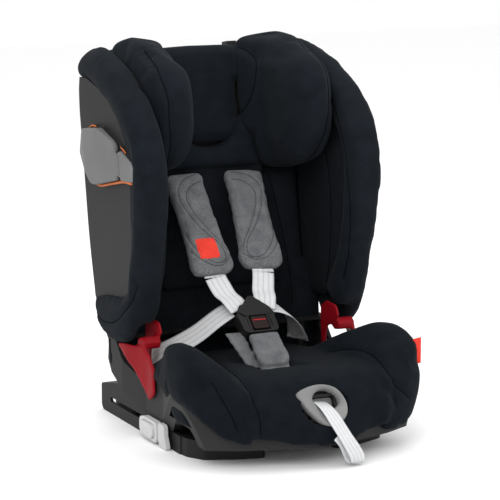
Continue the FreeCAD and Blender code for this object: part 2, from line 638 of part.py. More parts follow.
def headrest_wing():
    """The thick padded wing beside the head, with the sloping gusset behind it."""
    side = [(PAD_REAR, 515, 14), (-20, 505, 60), (-111, 455, 40), (-138, 418, 30), (-133, 385, 30),
            (-113, 335, 40), (-76, 302, 20), (20, HEAD_BOTTOM, 20), (PAD_REAR, HEAD_BOTTOM, 10)]
    top_view = [(66, PAD_REAR), (66, 50, 12), (94, 0, 40), (96, -110, 20), (120, -150, 20),
                (150, -120, 20), (HEAD_X, 0), (HEAD_X, PAD_REAR)]
    wing = prism(side, "yz", 0, 200).common(prism(top_view, "xy", 200, 600))
    return wing.cut(box(0, 93, 30, 80, 200, 339))


def headrest_carriage():
    """The block behind the headrest that slides on the two rails through the shell's slot."""
    neck = box(-58, 58, CARRIER_Y, 104, 280, 322)
    slab = prism([(-96, 280, 6), (96, 280, 6), (96, 328, 6), (-96, 328, 6)], "xz", 103.5, 117)
    block = neck.fuse(slab)
    for x in (-RAIL_X, RAIL_X):
        block = block.cut(rod(RAIL_R + RUN_GAP, (x, RAIL_Y, 270), (x, RAIL_Y, 340)))
    return block.cut(box(-45, 45, 106, 118, 300, 316))


def headrest_lever():
    """The squeeze lever behind the headrest that frees it from its rails."""
    return prism([(-44, 301), (44, 301), (44, 307.5, 3), (-44, 307.5, 3)], "xz", 106.5, 122)


def harness_yoke():
    """The steel plate under the carriage that joins the two shoulder straps."""
    plate = prism([(-68, 256, 6), (68, 256, 6), (68, 279.8), (-68, 279.8)], "xz", 113, 116)
    for x in (-STRAP_X, STRAP_X):
        plate = plate.cut(box(x - 20, x + 20, 110, 120, 265, 269))
    return plate


def shoulder_pad(top, bottom):
    """A pad over a shoulder strap, from under the headrest down to the chest."""
    top, bottom = vec(*top), vec(*bottom)
    length = (top - bottom).Length
    pad = prism([(-39, 0, 18), (39, 0, 18), (33, length, 8), (-33, length, 8)], "xy", 0, 14)
    pad = pad.cut(box(-20, 20, -1, length + 1, 4.5, 7.5))
    along = (top - bottom).normalize()
    across = vec(1, 0, 0) - along * along.x
    across.normalize()
    face = across.cross(along)
    place = FreeCAD.Matrix(across.x, along.x, face.x, bottom.x, across.y, along.y, face.y, bottom.y,
                           across.z, along.z, face.z, bottom.z, 0, 0, 0, 1)
    return pad.transformGeometry(place)


def shoulder_straps():
    """The shoulder straps' upper ends, from inside the pads through the shell to the yoke."""
    straps = []
    for x in (-STRAP_X, STRAP_X):
        path = [(x, 34, 271), (x, 57, 271), (x, 70, 274), (x, 112, 274), (x, 117.2, 268), (x, 117.2, 262)]
        straps.append(lean(ribbon(path, WEBBING_W, WEBBING_T)))
    return Part.makeCompound(straps)


def label_tab():
    """The woven tab sewn into the cushion's outer seam."""
    tab = prism([(-187, 104, 2), (-172, 108, 2), (-172, 144, 2), (-187, 140, 2)], "yz", 0, 2.2)
    tab.translate(vec(TUB_X + 22.5, 0, 0))
    return tab


# ---- write every part ---------------------------------------------------------------
def main():
    os.makedirs("parts", exist_ok=True)
    save("base_frame", base_frame())
    save("base_tub", base_tub())
    save("recline_axle", recline_axle())
    save("seat_cushion", seat_cushion())
    save_pair("seat_bolster", seat_bolster())
    save("cushion_tab", label_tab())

    save("adjuster_bezel", adjuster_bezel())
    save("adjuster_body", adjuster_body())
    save("adjuster_button", adjuster_button())
    save("adjuster_cam", adjuster_cam())
    save("adjuster_strap", adjuster_strap())

    save("buckle_housing", buckle_housing())
    save("buckle_button", buckle_button())
    save("buckle_tongue_left", on_buckle(buckle_tongue()))
    save("buckle_tongue_right", on_buckle(mirrored(buckle_tongue())))
    save("crotch_strap", crotch_strap())
    save("crotch_pad", crotch_pad())
    save("lap_straps", lap_straps(), 2)
    save("harness_straps", harness_straps(), 2)

    for name, make in (("isofix_arm", isofix_arm), ("isofix_connector", isofix_connector),
                       ("isofix_jaw", isofix_jaw), ("isofix_grip", isofix_grip), ("isofix_key", isofix_key)):
        save_pair(name, make())

    save("back_shell", lean(back_shell()))
    save("back_pad", lean(back_pad()))
    save_pair("side_bolster", lean(side_bolster()))
    save_pair("wing_roll", lean(wing_roll()))
    save("recline_hooks", recline_hooks(), 2)
    save_pair("lap_guide", lap_guide())
    save_pair("side_guard_base", lean(side_guard_base()))
    save_pair("side_guard_nose", lean(side_guard_nose()))
    save_pair("side_guard_flap", lean(side_guard_flap()))
    save("side_guard_pins", side_guard_pins(), 2)
    save("headrest_rails", headrest_rails(), 2)
    save("rail_brackets", rail_brackets(), 4)

    save("headrest_shell", lean(headrest_shell()))
    save("headrest_centre_pad", lean(headrest_centre_pad()))
    save("headrest_neck_pad", lean(headrest_neck_pad()))
    save_pair("headrest_wing", lean(headrest_wing()))
    save("headrest_carriage", lean(headrest_carriage()))
    save("headrest_lever", lean(headrest_lever()))
    save("harness_yoke", lean(harness_yoke()))
    save("shoulder_pad_right", shoulder_pad((-60, 146, 398), (-51, 34, 248)))
    save("shoulder_pad_left", shoulder_pad((50, 146, 398), (36, 34, 252)))
    save("shoulder_straps", shoulder_straps(), 2)


main()
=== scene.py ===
import math
import bmesh
import bpy
import numpy as np
from mathutils import Matrix, Vector


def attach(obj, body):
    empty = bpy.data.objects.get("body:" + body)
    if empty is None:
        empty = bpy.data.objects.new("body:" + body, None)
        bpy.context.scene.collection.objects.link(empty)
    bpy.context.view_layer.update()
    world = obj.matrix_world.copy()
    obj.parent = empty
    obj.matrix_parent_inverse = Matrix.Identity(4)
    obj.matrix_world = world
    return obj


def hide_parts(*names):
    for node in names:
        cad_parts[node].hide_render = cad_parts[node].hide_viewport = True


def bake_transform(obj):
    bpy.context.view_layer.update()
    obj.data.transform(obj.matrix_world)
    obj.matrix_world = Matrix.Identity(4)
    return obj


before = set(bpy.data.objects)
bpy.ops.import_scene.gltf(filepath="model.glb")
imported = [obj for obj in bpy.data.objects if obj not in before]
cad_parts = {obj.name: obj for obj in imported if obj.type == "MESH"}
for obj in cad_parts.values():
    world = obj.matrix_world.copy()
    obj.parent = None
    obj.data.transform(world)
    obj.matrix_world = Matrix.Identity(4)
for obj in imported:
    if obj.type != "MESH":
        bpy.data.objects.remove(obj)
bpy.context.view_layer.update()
SCENE = bpy.context.scene
SCENE.view_settings.view_transform = "Standard"
MM = 0.001

# ---- where things are and how large, in millimetres -------------------------------------
BEZEL_MIDDLE, BEZEL_TILT = Vector((0.0, -257.0, 92.0)), math.radians(60)
BUCKLE_MIDDLE, BUCKLE_TILT = Vector((-6.0, -31.0, 183.0)), math.radians(40)
TUB_HALF_WIDTH = 206
HARNESS_WIDTH, ADJUSTER_WIDTH, WEBBING_THICKNESS = 38, 25, 1.6
TRIM_X = 217

# ---- how a cover is filled ----------------------------------------------------------------
PRESSURE, CLOTH_FRAMES = 4.0, 20

# ---- the backrest's own upright frame, as in the CAD ---------------------------------
LEAN = math.radians(10)
BACK_Y, BACK_Z = 60.0, 125.0
UP = Vector((0, math.sin(LEAN), math.cos(LEAN)))


def at(x, y, z):
    """A point given in millimetres in the row frame."""
    return Vector((x, y, z)) * MM


def back(x, y, z):
    """A point given in millimetres in the backrest's upright frame."""
    turned_y = BACK_Y + y * math.cos(LEAN) + z * math.sin(LEAN)
    return Vector((x, turned_y, BACK_Z - y * math.sin(LEAN) + z * math.cos(LEAN))) * MM


# ---- materials ------------------------------------------------------------------------
def material(name, roughness, **sockets):
    mat = bpy.data.materials.new(name)
    mat.use_nodes = True
    shader = mat.node_tree.nodes["Principled BSDF"]
    shader.inputs["Roughness"].default_value = roughness
    for socket, value in sockets.items():
        shader.inputs[socket.replace("_", " ")].default_value = value
    return mat


def node(mat, kind, **settings):
    made = mat.node_tree.nodes.new("ShaderNode" + kind)
    for key, value in settings.items():
        if key in made.inputs:
            made.inputs[key].default_value = value
        else:
            setattr(made, key, value)
    return made


def link(mat, source, output, target, socket):
    mat.node_tree.links.new(source.outputs[output], target.inputs[socket])


def ramp(mat, source, output, low, high, start=0.3, end=0.7):
    made = node(mat, "ValToRGB")
    made.color_ramp.elements[0].position = start
    made.color_ramp.elements[1].position = end
    made.color_ramp.elements[0].color = (*low, 1)
    made.color_ramp.elements[1].color = (*high, 1)
    link(mat, source, output, made, "Fac")
    return made


def woven(name, dark, light, roughness, thread=0.0011, relief=0.25, fleck=0.0, sheen=0.25):
    """Woven cloth: two crossing sets of threads, flecks of another yarn and soft mottling."""
    mat = material(name, roughness, Sheen_Weight=sheen, Sheen_Roughness=0.5, Specular_IOR_Level=0.04)
    shader = mat.node_tree.nodes["Principled BSDF"]
    texture_space = node(mat, "TexCoord")
    warp = node(mat, "TexWave", wave_type="BANDS", bands_direction="DIAGONAL", Scale=0.35 / thread)
    weft = node(mat, "TexWave", wave_type="BANDS", bands_direction="DIAGONAL", Scale=0.35 / thread)
    turn = node(mat, "Mapping", Rotation=(0.3, 0.2, math.pi / 2))
    warp.inputs["Distortion"].default_value = 0.6
    weft.inputs["Distortion"].default_value = 0.6
    link(mat, texture_space, "Object", warp, "Vector")
    link(mat, texture_space, "Object", turn, "Vector")
    link(mat, turn, "Vector", weft, "Vector")
    threads = node(mat, "Math", operation="MAXIMUM")
    mat.node_tree.links.new(warp.outputs["Fac"], threads.inputs[0])
    mat.node_tree.links.new(weft.outputs["Fac"], threads.inputs[1])
    mottle = node(mat, "TexNoise", Scale=45.0, Detail=5.0)
    link(mat, texture_space, "Object", mottle, "Vector")
    colour = ramp(mat, mottle, "Fac", dark, light, 0.3, 0.72)
    if fleck:
        yarn = node(mat, "TexNoise", Scale=1500.0, Detail=3.0)
        stretch = node(mat, "Mapping", Scale=(1.0, 1.0, 0.35))
        link(mat, texture_space, "Object", stretch, "Vector")
        link(mat, stretch, "Vector", yarn, "Vector")
        flecks = ramp(mat, yarn, "Fac", (0.5,) * 3, (1.7,) * 3, 0.36, 0.64)
        mix = node(mat, "MixRGB", blend_type="MULTIPLY", Fac=fleck)
        mat.node_tree.links.new(colour.outputs["Color"], mix.inputs[1])
        mat.node_tree.links.new(flecks.outputs["Color"], mix.inputs[2])
        colour = mix
    shade = node(mat, "MixRGB", blend_type="MULTIPLY", Fac=0.35)
    mat.node_tree.links.new(colour.outputs["Color"], shade.inputs[1])
    mat.node_tree.links.new(threads.outputs["Value"], shade.inputs[2])
    link(mat, shade, "Color", shader, "Base Color")
    bump = node(mat, "Bump", Strength=relief, Distance=0.0005)
    link(mat, threads, "Value", bump, "Height")
    link(mat, bump, "Normal", shader, "Normal")
    return mat


def moulded(name, dark, light, roughness, grain=0.12, scale=900.0):
    """Moulded plastic: a fine leathery grain, slight colour drift and uneven gloss."""
    mat = material(name, roughness, Specular_IOR_Level=0.16)
    shader = mat.node_tree.nodes["Principled BSDF"]
    texture_space = node(mat, "TexCoord")
    drift = node(mat, "TexNoise", Scale=14.0, Detail=4.0)
    cells = node(mat, "TexVoronoi", Scale=scale)
    for texture in (drift, cells):
        link(mat, texture_space, "Object", texture, "Vector")
    link(mat, ramp(mat, drift, "Fac", dark, light), "Color", shader, "Base Color")
    gloss = node(mat, "MapRange")
    gloss.inputs["To Min"].default_value = roughness - 0.06
    gloss.inputs["To Max"].default_value = roughness + 0.08
    link(mat, drift, "Fac", gloss, "Value")
    link(mat, gloss, "Result", shader, "Roughness")
    bump = node(mat, "Bump", Strength=grain, Distance=0.0003)
    link(mat, cells, "Distance", bump, "Height")
    link(mat, bump, "Normal", shader, "Normal")
    return mat


def steel(name):
    """Brushed steel: fine scratches along its length."""
    mat = material(name, 0.34, Metallic=1.0)
    shader = mat.node_tree.nodes["Principled BSDF"]
    texture_space = node(mat, "TexCoord")
    stretch = node(mat, "Mapping", Scale=(400.0, 12.0, 400.0))
    scratch = node(mat, "TexNoise", Scale=3.0, Detail=6.0)
    link(mat, texture_space, "Object", stretch, "Vector")
    link(mat, stretch, "Vector", scratch, "Vector")
    link(mat, ramp(mat, scratch, "Fac", (0.42,) * 3, (0.62,) * 3), "Color", shader, "Base Color")
    bump = node(mat, "Bump", Strength=0.1, Distance=0.0002)
    link(mat, scratch, "Fac", bump, "Height")
    link(mat, bump, "Normal", shader, "Normal")
    return mat


def belt(name):
    """White harness webbing: faint lengthwise ribs crossed by fine weft, from the strap's own UVs."""
    mat = material(name, 0.7, Specular_IOR_Level=0.2)
    shader = mat.node_tree.nodes["Principled BSDF"]
    texture_space = node(mat, "TexCoord")
    ribs = node(mat, "TexWave", wave_type="BANDS", bands_direction="X", Scale=1.27)
    weft = node(mat, "TexWave", wave_type="BANDS", bands_direction="Y", Scale=220.0)
    for texture in (ribs, weft):
        link(mat, texture_space, "UV", texture, "Vector")
    mottle = node(mat, "TexNoise", Scale=160.0, Detail=4.0)
    link(mat, texture_space, "Object", mottle, "Vector")
    stripes = ramp(mat, ribs, "Fac", (0.46, 0.47, 0.49), (0.60, 0.605, 0.61), 0.02, 0.22)
    tint = ramp(mat, mottle, "Fac", (0.93,) * 3, (1.0,) * 3)
    mix = node(mat, "MixRGB", blend_type="MULTIPLY", Fac=1.0)
    mat.node_tree.links.new(stripes.outputs["Color"], mix.inputs[1])
    mat.node_tree.links.new(tint.outputs["Color"], mix.inputs[2])
    link(mat, mix, "Color", shader, "Base Color")
    height = node(mat, "Math", operation="MULTIPLY_ADD")
    height.inputs[1].default_value = 0.35
    mat.node_tree.links.new(weft.outputs["Fac"], height.inputs[0])
    mat.node_tree.links.new(ribs.outputs["Fac"], height.inputs[2])
    bump = node(mat, "Bump", Strength=0.3, Distance=0.0005)
    link(mat, height, "Value", bump, "Height")
    link(mat, bump, "Normal", shader, "Normal")
    return mat


NAVY = woven("navy_cloth", (0.0066, 0.0090, 0.0122), (0.0098, 0.0126, 0.0170), 0.88, sheen=0.02)
# painted shade: the seat's cloth is the navy cloth at about three quarters of its brightness, to darken the
# upward-facing seat that the top light brightens
NAVY_SEAT_PAINTED_SHADE = woven("navy_seat_painted_shade", (0.0046, 0.0066, 0.0092), (0.0070, 0.0094, 0.0130), 0.88, sheen=0.02)
NAVY_DARK = woven("navy_mesh", (0.0078, 0.0098, 0.0125), (0.0112, 0.0136, 0.0170), 0.92,
                  thread=0.0016, sheen=0.01)
# painted shade: the welts are drawn near-black, far darker than the navy cloth, for the shade in the seams'
# creases
SEAM_SHADE = woven("seam_welt_painted_shade", (0.0018, 0.0022, 0.003), (0.003, 0.0036, 0.005), 0.9, thread=0.0005, sheen=0.0)
MELANGE = woven("grey_melange", (0.10, 0.103, 0.109), (0.15, 0.153, 0.16), 0.9,
                fleck=0.8, relief=0.4, sheen=0.05)
# the quilted lines' cords: their stitching, drawn far darker than the melange as painted shade of the
# pressed-in lines
QUILT_THREAD_AND_SHADE = woven("quilting_thread_and_shade", (0.035, 0.036, 0.04), (0.05, 0.051, 0.055), 0.85, thread=0.0005, sheen=0.0)
WEBBING = belt("harness_webbing")
TAB_RED = woven("woven_tab", (0.70, 0.045, 0.03), (0.80, 0.06, 0.04), 0.7, thread=0.0007, sheen=0.05)
GUIDE_RED = moulded("red_plastic", (0.20, 0.001, 0.005), (0.25, 0.002, 0.008), 0.55, 0.05)
# painted highlight: the bright red of the key's edge where it catches the light
KEY_LIT_EDGE = moulded("red_key", (0.42, 0.01, 0.012), (0.52, 0.016, 0.018), 0.4, 0.05)
SHELL = moulded("shell_plastic", (0.0150, 0.0150, 0.0151), (0.0195, 0.0195, 0.0197), 0.6)
BASE = moulded("base_plastic", (0.0165, 0.0165, 0.0166), (0.0215, 0.0215, 0.0217), 0.58)
FOOT = moulded("foot_plastic", (0.012, 0.012, 0.012), (0.018, 0.018, 0.018), 0.58)
BLACK = moulded("black_plastic", (0.008, 0.008, 0.008), (0.014, 0.0135, 0.013), 0.4, 0.06)
# painted shade: the red key drawn dark, as it looks deep in the shade of its window
KEY_DARK = moulded("shaded_key", (0.012, 0.005, 0.005), (0.018, 0.007, 0.007), 0.5, 0.06)
GUARD = moulded("guard_plastic", (0.122, 0.1228, 0.1228), (0.147, 0.148, 0.148), 0.5, 0.08)
PALE = moulded("pale_plastic", (0.50, 0.495, 0.50), (0.57, 0.565, 0.57), 0.5, 0.06)
BEZEL = moulded("bezel_plastic", (0.165, 0.165, 0.164), (0.205, 0.205, 0.203), 0.5, 0.06)
ORANGE = moulded("orange_plastic", (0.44, 0.11, 0.025), (0.54, 0.14, 0.035), 0.5, 0.06)
GREY = moulded("grey_plastic", (0.10, 0.102, 0.106), (0.13, 0.132, 0.136), 0.48)
STEEL = steel("brushed_steel")


# ---- meshes -----------------------------------------------------------------------------
def new_object(name, mesh, mat):
    obj = bpy.data.objects.new(name, mesh)
    SCENE.collection.objects.link(obj)
    mesh.materials.clear()
    mesh.materials.append(mat)
    return obj


def finished(bm, name):
    """The mesh of a shape that has been drawn, with its faces turned outwards."""
    bmesh.ops.recalc_face_normals(bm, faces=bm.faces)
    mesh = bpy.data.meshes.new(name)
    bm.to_mesh(mesh)
    bm.free()
    return mesh


def bridge(bm, rings):
    """Faces between each closed ring of vertices and the next."""
    count = len(rings[0])
    for one, two in zip(rings, rings[1:]):
        for k in range(count):
            bm.faces.new([one[k], one[(k + 1) % count], two[(k + 1) % count], two[k]])


def block(outline, plane, low, high, leaning=False):
    """A closed prism from an outline in millimetres, for joining to other shapes."""
    point = back if leaning else at
    order = {"yz": lambda u, v, w: (w, u, v), "xz": lambda u, v, w: (u, w, v),
             "xy": lambda u, v, w: (u, v, w)}
    bm = bmesh.new()
    rings = [[bm.verts.new(point(*order[plane](u, v, w))) for u, v in outline] for w in (low, high)]
    bm.faces.new(rings[0])
    bm.faces.new(list(reversed(rings[1])))
    for i in range(len(outline)):
        j = (i + 1) % len(outline)
        bm.faces.new([rings[0][i], rings[1][i], rings[1][j], rings[0][j]])
    return finished(bm, "block")


def joined(name, nodes, mat, extra=()):
    """A new object made of copies of CAD nodes and further closed meshes."""
    bm = bmesh.new()
    for each in [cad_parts[n].data for n in nodes] + list(extra):
        bm.from_mesh(each)
    mesh = bpy.data.meshes.new(name)
    bm.to_mesh(mesh)
    bm.free()
    return new_object(name, mesh, mat)


def apply_modifiers(obj):
    graph = bpy.context.evaluated_depsgraph_get()
    mesh = bpy.data.meshes.new_from_object(obj.evaluated_get(graph), depsgraph=graph)
    obj.modifiers.clear()
    obj.data = mesh


def remesh(obj, voxel, rounds):
    """One closed skin with rounded edges: voxels, then smoothing."""
    skin = obj.modifiers.new("skin", "REMESH")
    skin.mode = "VOXEL"
    skin.voxel_size = voxel
    if rounds:
        soft = obj.modifiers.new("soft", "SMOOTH")
        soft.factor = 0.5
        soft.iterations = rounds
    apply_modifiers(obj)


def coordinates(obj):
    co = np.empty(len(obj.data.vertices) * 3)
    obj.data.vertices.foreach_get("co", co)
    return co.reshape(-1, 3)


def set_coordinates(obj, co):
    obj.data.vertices.foreach_set("co", co.ravel())
    obj.data.update()


def inflate(obj, cap):
    """Cloth under pressure fills the cover; no point moves further than cap."""
    before = coordinates(obj)
    cloth = obj.modifiers.new("cloth", "CLOTH")
    cloth.settings.use_pressure = True
    cloth.settings.uniform_pressure_force = PRESSURE
    cloth.settings.effector_weights.gravity = 0
    cloth.point_cache.frame_start, cloth.point_cache.frame_end = 1, CLOTH_FRAMES
    for number in range(1, CLOTH_FRAMES + 1):
        SCENE.frame_set(number)
    apply_modifiers(obj)
    SCENE.frame_set(1)
    moved = coordinates(obj) - before
    length = np.linalg.norm(moved, axis=1, keepdims=True)
    set_coordinates(obj, before + moved * np.minimum(1, cap / np.maximum(length, 1e-9)))


def subdivide(obj, levels):
    fine = obj.modifiers.new("fine", "SUBSURF")
    fine.levels = fine.render_levels = levels
    apply_modifiers(obj)


def smooth(obj):
    obj.data.polygons.foreach_set("use_smooth", [True] * len(obj.data.polygons))


def curve_through(points, step=0.002):
    """Points every step along a smooth curve through the given ones."""
    points = [Vector(p) for p in points]
    ends = [points[0] * 2 - points[1]] + points + [points[-1] * 2 - points[-2]]
    out = []
    for a, b, c, d in zip(ends, ends[1:], ends[2:], ends[3:]):
        count = max(1, round((c - b).length / step))
        for i in range(count):
            t = i / count
            out.append(0.5 * ((2 * b) + (c - a) * t + (2 * a - 5 * b + 4 * c - d) * t * t
                              + (3 * b - a - 3 * c + d) * t ** 3))
    return out + [points[-1]]


def normals(obj):
    found = np.empty(len(obj.data.vertices) * 3)
    obj.data.vertices.foreach_get("normal", found)
    return found.reshape(-1, 3)


def grow(obj, amount):
    """Move the skin outwards, to give back what smoothing took."""
    set_coordinates(obj, coordinates(obj) + normals(obj) * amount)


def on_surface(obj, points):
    """Each point moved to the nearest place on the surface, with the normal there."""
    found = []
    for p in points:
        _, spot, normal, _ = obj.closest_point_on_mesh(p)
        found.append((spot, normal))
    return found


def groove(obj, line, depth, width):
    """A sewn channel along a line: the cover is pulled in beside it."""
    line = np.array(line)
    co = coordinates(obj)
    near = np.full(len(co), 1.0)
    for a, b in zip(line[:-1], line[1:]):
        along = b - a
        t = np.clip(((co - a) @ along) / max(along @ along, 1e-12), 0, 1)
        near = np.minimum(near, np.linalg.norm(co - a - t[:, None] * along, axis=1))
    pull = depth * np.exp(-(near / width) ** 2)
    set_coordinates(obj, co - normals(obj) * pull[:, None])


def tube(name, line, radius, mat):
    """A thin cord, six-sided, along a list of (point, normal) pairs; its ends taper."""
    sides = 6
    bm = bmesh.new()
    rings = []
    for i, (p, normal) in enumerate(line):
        along = line[min(i + 1, len(line) - 1)][0] - line[max(i - 1, 0)][0]
        side = along.cross(normal).normalized()
        size = radius * (0.4 if i in (0, len(line) - 1) else 1.0)
        turns = (k * 2 * math.pi / sides for k in range(sides))
        spokes = [(side * math.cos(t) + normal * math.sin(t)) * size for t in turns]
        rings.append([bm.verts.new(p + spoke) for spoke in spokes])
    bridge(bm, rings)
    bm.faces.new(rings[0])
    bm.faces.new(rings[-1])
    made = new_object(name, finished(bm, name), mat)
    smooth(made)
    return made


def seam(name, obj, points, radius=0.0008, depth=0.0022, width=0.006, mat=SEAM_SHADE):
    """A seam on a finished cover: the channel it pulls, and the welt that lies in it, near-black by default
    as painted shade of the seam's crease.
    """
    flat = [p for p, _ in on_surface(obj, curve_through(points, 0.004))]
    groove(obj, flat, depth, width)
    line = on_surface(obj, curve_through(flat[::2] + flat[-1:], 0.003))
    return tube(name, line, radius, mat)


def mirror_copy(obj, name):
    """The mirror image of a finished piece, for the other side."""
    mesh = obj.data.copy()
    mesh.transform(Matrix.Scale(-1, 4, Vector((1, 0, 0))))
    mesh.flip_normals()
    return new_object(name, mesh, obj.data.materials[0])


def soft(name, nodes, mat, voxel=0.005, rounds=12, cap=0.005, levels=1, extra=(), swell=0.0):
    """A padded piece grown from the CAD's plain solids."""
    obj = joined(name, nodes, mat, extra)
    remesh(obj, voxel, rounds)
    grow(obj, swell)
    inflate(obj, cap)
    subdivide(obj, levels)
    smooth(obj)
    return obj


def place(obj, body, nodes=()):
    """Hang a piece on the body it rides on, and hide the CAD nodes it stands for."""
    if nodes:
        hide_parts(*nodes)
    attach(obj, body)
    return obj


ACROSS = (1, 0, 0)


def strap(name, points, width_mm, lay=(ACROSS, ACROSS)):
    """Flat webbing along a smooth line, lying across lay[0] at its start and lay[1] at its end.

    Its UVs run across (0 to 1) and along (metres).
    """
    line = curve_through(points, 0.004)
    width, thick = width_mm * MM, WEBBING_THICKNESS * MM
    bm = bmesh.new()
    uv = bm.loops.layers.uv.new("UVMap")
    columns, rows, travelled = 8, [], 0.0
    for i, p in enumerate(line):
        share = i / (len(line) - 1)
        along = (line[min(i + 1, len(line) - 1)] - line[max(i - 1, 0)]).normalized()
        side = Vector(lay[0]).lerp(Vector(lay[1]), share)
        side = (side - along * side.dot(along)).normalized()
        out = along.cross(side)
        travelled += (p - line[i - 1]).length if i else 0
        profile = []
        for sign, order in ((1, range(columns + 1)), (-1, range(columns, -1, -1))):
            for k in order:
                u = k / columns
                edge = 1 - abs(2 * u - 1) ** 6
                rise = out * thick * (0.25 + 0.25 * edge) * sign
                profile.append((u, p + side * (u - 0.5) * width + rise))
        rows.append([(bm.verts.new(q), u, travelled) for u, q in profile])
    count = len(rows[0])
    for one, two in zip(rows, rows[1:]):
        for k in range(count):
            quad = [one[k], one[(k + 1) % count], two[(k + 1) % count], two[k]]
            face = bm.faces.new([v for v, _, _ in quad])
            for loop, (_, u, v) in zip(face.loops, quad):
                loop[uv].uv = (u, v)
    for row in (rows[0], rows[-1]):
        bm.faces.new([v for v, _, _ in row])
    made = new_object(name, finished(bm, name), WEBBING)
    smooth(made)
    return made


# ---- the CAD's own rigid parts, with real finishes ------------------------------------
def finish_nodes(mat, *names):
    for name in names:
        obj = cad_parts[name]
        for each in obj.material_slots:
            each.material = mat


def both(*names):
    return [name + side for name in names for side in ("_left", "_right")]


finish_nodes(SHELL, "back_shell", "headrest_shell", "headrest_carriage", "rail_brackets", "recline_hooks")
finish_nodes(FOOT, "base_frame")
finish_nodes(BASE, "base_tub")
finish_nodes(STEEL, "recline_axle", "headrest_rails", "side_guard_pins", "harness_yoke", "adjuster_cam",
             *both("isofix_arm", "isofix_jaw"))
finish_nodes(BLACK, "adjuster_body")
finish_nodes(GREY, "adjuster_button", "headrest_lever", *both("isofix_connector"))
finish_nodes(SHELL, *both("side_guard_base"))
finish_nodes(PALE, *both("isofix_grip", "isofix_key"))


# ---- padded pieces -------------------------------------------------------------------
def mirrored(points):
    return [Vector((-p[0], p[1], p[2])) for p in points]


def sew(body, slot, obj, lines, **settings):
    """Sew each line of points into a finished cover, as numbered pieces named after it."""
    for number, points in enumerate(lines, 1):
        welt = seam("%s_seam_%d" % (obj.name, number), obj, points, **settings)
        place(welt, body)


# x, y, and the lower edge's height on the left and on the right side
HEM = [(183, 10, 108, 108), (184, -40, 107, 108), (190, -82, 101, 107), (200, -118, 91, 106),
       (206, -152, 78, 104), (204, -186, 62, 99), (190, -212, 47, 80), (160, -232, 38, 52),
       (120, -248, 33, 36)]
HEM_TOP, HEM_CENTRE_Y = 122, -60
HEM_OUTSIDE, HEM_INSIDE = 3.5, -10
TAPER, TAPER_TOP = 0.4, 105


def hem_band(side):
    """The cover's lower edge, swept over the tub's flared front corner on one side."""
    bm = bmesh.new()
    rings = []
    for x, y, low_left, low_right in HEM:
        low = low_left if side > 0 else low_right
        out = Vector((x, y - HEM_CENTRE_Y)).normalized()
        down = (HEM_TOP, 0.5 * (HEM_TOP + low), low)
        ring = []
        for offset, heights in ((HEM_OUTSIDE, down), (HEM_INSIDE, down[::-1])):
            for z in heights:
                half = min(x, TUB_HALF_WIDTH - TAPER * max(0, TAPER_TOP - z))
                ring.append(bm.verts.new(at(side * (half + out.x * offset), y + out.y * offset, z)))
        rings.append(ring)
    bridge(bm, rings)
    bm.faces.new(rings[0])
    bm.faces.new(rings[-1])
    return finished(bm, "hem")


# drawn face-up under the adjuster's rim: an oval, and how deep the cover may stand inside it
DENT_MIDDLE, DENT_HALF = (4, 1), (40, 31)
DENT_FLOOR, DENT_EDGE, DENT_DEEPEST = -24, -1, -40
DENT_RISE_START, DENT_RISE_LENGTH, DENT_REACH = 0.72, 0.30, 1.02


def dent(obj):
    """The cover is tucked in all round under the adjuster's rim."""
    turn = np.array(Matrix.Rotation(-BEZEL_TILT, 3, "X"))
    flat = (coordinates(obj) / MM - np.array(BEZEL_MIDDLE)) @ turn.T
    away = np.hypot((flat[:, 0] - DENT_MIDDLE[0]) / DENT_HALF[0],
                    (flat[:, 1] - DENT_MIDDLE[1]) / DENT_HALF[1])
    rim = np.clip((away - DENT_RISE_START) / DENT_RISE_LENGTH, 0, 1)
    allowed = DENT_FLOOR + (DENT_EDGE - DENT_FLOOR) * rim * rim * (3 - 2 * rim)
    inside = (away < DENT_REACH) & (flat[:, 2] > DENT_DEEPEST)
    flat[inside, 2] = np.minimum(flat[inside, 2], allowed[inside])
    set_coordinates(obj, (flat @ turn + np.array(BEZEL_MIDDLE)) * MM)


def seat_cover():
    nodes = ["seat_cushion", "seat_bolster_left", "seat_bolster_right"]
    nose = block([(-262, 50), (-262, 96), (-232, 106), (-225, 70)], "yz", -120, 120)
    hems = [hem_band(side) for side in (-1, 1)]
    # the seat is covered in the navy cloth with painted shade
    obj = soft("seat_cover", nodes, NAVY_SEAT_PAINTED_SHADE, voxel=0.0045, rounds=30, cap=0.004, extra=[nose] + hems,
               swell=0.003)
    dent(obj)
    place(obj, "base", nodes)
    inner = [at(-66, 30, 110), at(-72, -20, 118), at(-96, -130, 128), at(-114, -210, 128),
             at(-112, -244, 108),
             at(-108, -260, 80), at(-108, -272, 50)]
    outer = [at(-170, -215, 138), at(-158, -230, 112), at(-147, -238, 92), at(-139, -246, 66)]
    right = [at(112, -60, 130), at(128, -104, 137), at(133, -150, 142), at(131, -200, 138),
             at(133, -240, 112),
             at(166, -216, 74)]
    sew("base", "navy_fabric", obj, [inner, outer, right])


def back_cushion():
    skirt = block([(64, -44), (66, 60), (88, 60), (82, -44)], "yz", -160, 160, leaning=True)
    filler = [(60, -24), (60, 126), (80, 126), (80, -24)]
    sides = [block(filler, "yz", *sorted((s * 150, s * 197)), leaning=True) for s in (-1, 1)]
    obj = soft("back_cushion", ["back_pad"], NAVY_DARK, extra=[skirt] + sides,
               swell=0.002)
    place(obj, "backrest", ["back_pad"])
    side = [back(112, 64, 286), back(124, 64, 224), back(134, 64, 160),
            back(140, 64, 106), back(140, 64, 52)]
    across = [back(-118, 64, 96), back(-60, 64, 104), back(0, 64, 106), back(60, 64, 104), back(118, 64, 96)]
    sew("backrest", "navy_fabric", obj, [side, mirrored(side), across], depth=0.003, width=0.008)


POCKET = [(78, 95), (82, 62), (56, 39), (20, 26), (-27, 22), (-56, 42), (-84, 86), (-100, 118), (-90, 134),
          (-84, 131), (-66, 106), (-46, 98)]


